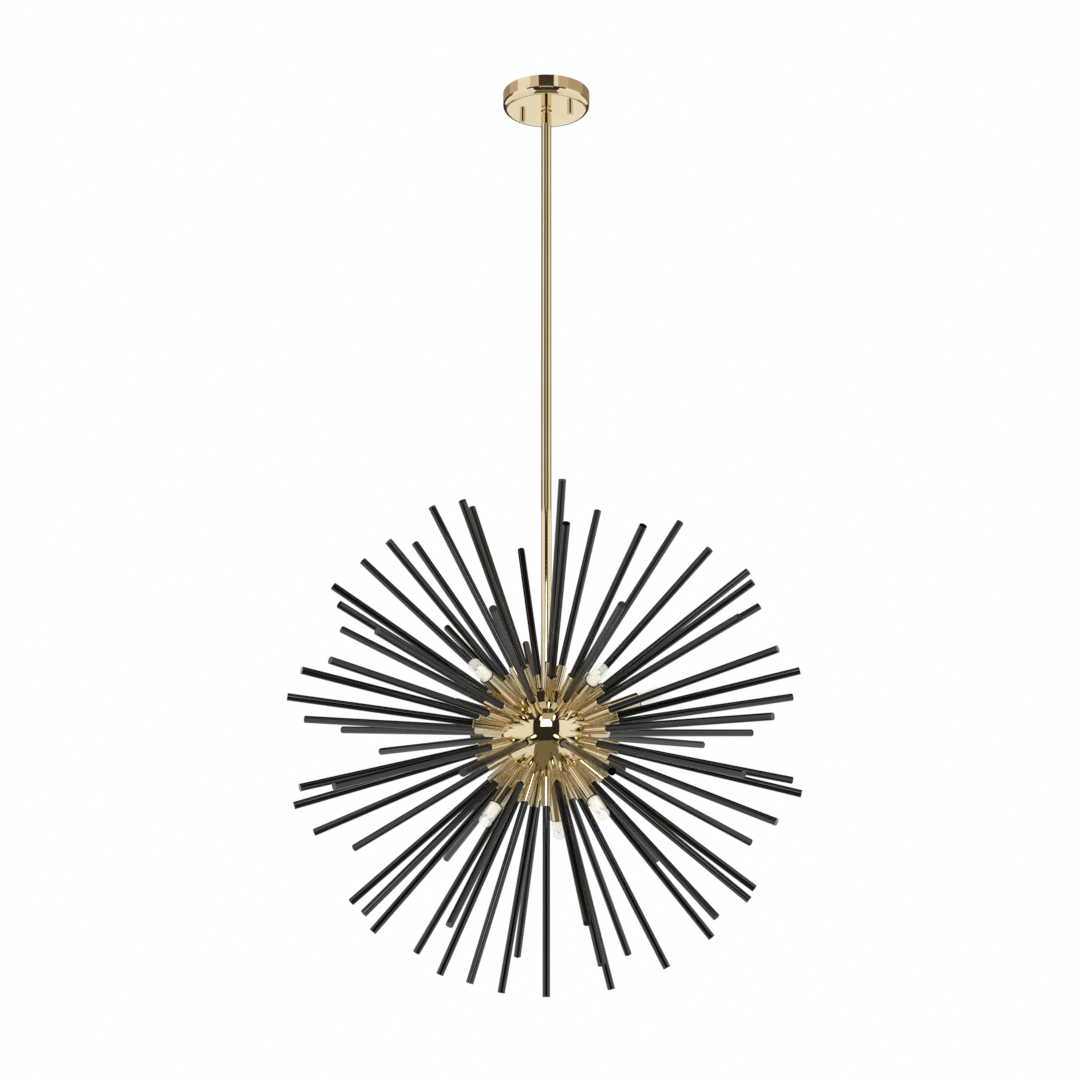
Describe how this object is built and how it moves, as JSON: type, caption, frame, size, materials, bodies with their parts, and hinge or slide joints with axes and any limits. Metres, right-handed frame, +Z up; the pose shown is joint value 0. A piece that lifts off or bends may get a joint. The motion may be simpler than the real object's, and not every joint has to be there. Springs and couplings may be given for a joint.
{
  "type": "sputnik chandelier",
  "caption": "Ceiling chandelier with slim rods and capsule lamps set all round a hollow ball, hung by a long stem from a round canopy.",
  "frame": {"origin": "middle of the ceiling mount, in the plane of the ceiling, between the two box screw slots", "axes": "+Z up into the ceiling and along the stem, +X through the two cap nuts of the canopy, +Y level"},
  "size_m": [0.6878, 0.6837, 1.289],
  "materials": {
    "champagne_metal": "mirror polished champagne plating",
    "black_lacquer": "gloss",
    "zinc_steel": "zinc plated",
    "green_screw": "green passivated",
    "white_plastic": "matte",
    "white_ceramic": "matte",
    "wire_sheath": "matte",
    "lamp_glass": "clear"
  },
  "bodies": {
    "ceiling_mount": {"mounting_strap": "zinc_steel", "canopy_studs": "zinc_steel", "stud_lock_nuts": "zinc_steel", "ground_screw": "green_screw", "canopy": "champagne_metal", "canopy_nuts": "champagne_metal", "swivel_seat": "zinc_steel"},
    "tilt_ring": {"swivel_liner": "white_plastic"},
    "ball_stud": {"swivel_ball": "champagne_metal"},
    "pendant": {"stem_coupling": "champagne_metal", "stem": "champagne_metal", "stem_foot_nipple": "zinc_steel", "hub_top_nut": "zinc_steel", "hub_tie_coupler": "zinc_steel", "hub_tie_rod": "zinc_steel", "supply_wires": "wire_sheath", "hub_upper_shell": "champagne_metal", "hub_lower_shell": "champagne_metal", "bottom_sleeve": "champagne_metal", "bottom_rod": "black_lacquer", "lower_sleeves": "champagne_metal", "upper_sleeves": "champagne_metal", "rod_end_plugs": "black_lacquer", "lamp_arms": "champagne_metal", "lampholders": "white_ceramic", "lamp_leads": "wire_sheath", "rods_row_1": "black_lacquer", "rods_row_2": "black_lacquer", "rods_row_3": "black_lacquer", "rods_row_4": "black_lacquer", "rods_row_5": "black_lacquer", "rods_row_6": "black_lacquer", "rods_row_7": "black_lacquer", "rods_row_8": "black_lacquer", "lamp_cup_1": "champagne_metal", "lamp_cup_2": "champagne_metal", "lamp_cup_3": "champagne_metal", "lamp_cup_4": "champagne_metal", "lamp_cup_5": "champagne_metal", "lamp_cup_6": "champagne_metal", "lamp_cup_7": "champagne_metal", "lamp_cup_8": "champagne_metal"},
    "bulb_1": {"bulb_glass_1": "lamp_glass", "bulb_base_1": "white_ceramic"},
    "bulb_2": {"bulb_glass_2": "lamp_glass", "bulb_base_2": "white_ceramic"},
    "bulb_3": {"bulb_glass_3": "lamp_glass", "bulb_base_3": "white_ceramic"},
    "bulb_4": {"bulb_glass_4": "lamp_glass", "bulb_base_4": "white_ceramic"},
    "bulb_5": {"bulb_glass_5": "lamp_glass", "bulb_base_5": "white_ceramic"},
    "bulb_6": {"bulb_glass_6": "lamp_glass", "bulb_base_6": "white_ceramic"},
    "bulb_7": {"bulb_glass_7": "lamp_glass", "bulb_base_7": "white_ceramic"},
    "bulb_8": {"bulb_glass_8": "lamp_glass", "bulb_base_8": "white_ceramic"}
  },
  "joints": [
    {"name": "tilt_about_x", "type": "hinge", "parent": "ceiling_mount", "child": "tilt_ring", "pos_m": [0, 0, -0.01812], "axis": [1, 0, 0], "range_deg": [-12, 12]},
    {"name": "tilt_about_y", "type": "hinge", "parent": "tilt_ring", "child": "ball_stud", "pos_m": [0, 0, -0.01812], "axis": [0, 1, 0], "range_deg": [-12, 12]},
    {"name": "stem_turn", "type": "hinge", "parent": "ball_stud", "child": "pendant", "pos_m": [0, 0, -0.0323], "axis": [0, 0, 1], "range_deg": [-175, 175]},
    {"name": "bulb_1_pull", "type": "slide", "parent": "pendant", "child": "bulb_1", "axis": [-0.3015, -0.8467, 0.4384], "range_m": [0, 0.03]},
    {"name": "bulb_2_pull", "type": "slide", "parent": "pendant", "child": "bulb_2", "axis": [0.7159, -0.5923, 0.3697], "range_m": [0, 0.03]},
    {"name": "bulb_3_pull", "type": "slide", "parent": "pendant", "child": "bulb_3", "axis": [0.8694, 0.3566, 0.342], "range_m": [0, 0.03]},
    {"name": "bulb_4_pull", "type": "slide", "parent": "pendant", "child": "bulb_4", "axis": [-0.1218, 0.9376, 0.3256], "range_m": [0, 0.03]},
    {"name": "bulb_5_pull", "type": "slide", "parent": "pendant", "child": "bulb_5", "axis": [-0.9321, -0.1744, 0.3173], "range_m": [0, 0.03]},
    {"name": "bulb_6_pull", "type": "slide", "parent": "pendant", "child": "bulb_6", "axis": [-0.3416, -0.4989, -0.7965], "range_m": [0, 0.03]},
    {"name": "bulb_7_pull", "type": "slide", "parent": "pendant", "child": "bulb_7", "axis": [0.5981, -0.2564, -0.7593], "range_m": [0, 0.03]},
    {"name": "bulb_8_pull", "type": "slide", "parent": "pendant", "child": "bulb_8", "axis": [-0.1214, 0.6244, -0.7716], "range_m": [0, 0.03]}
  ]
}
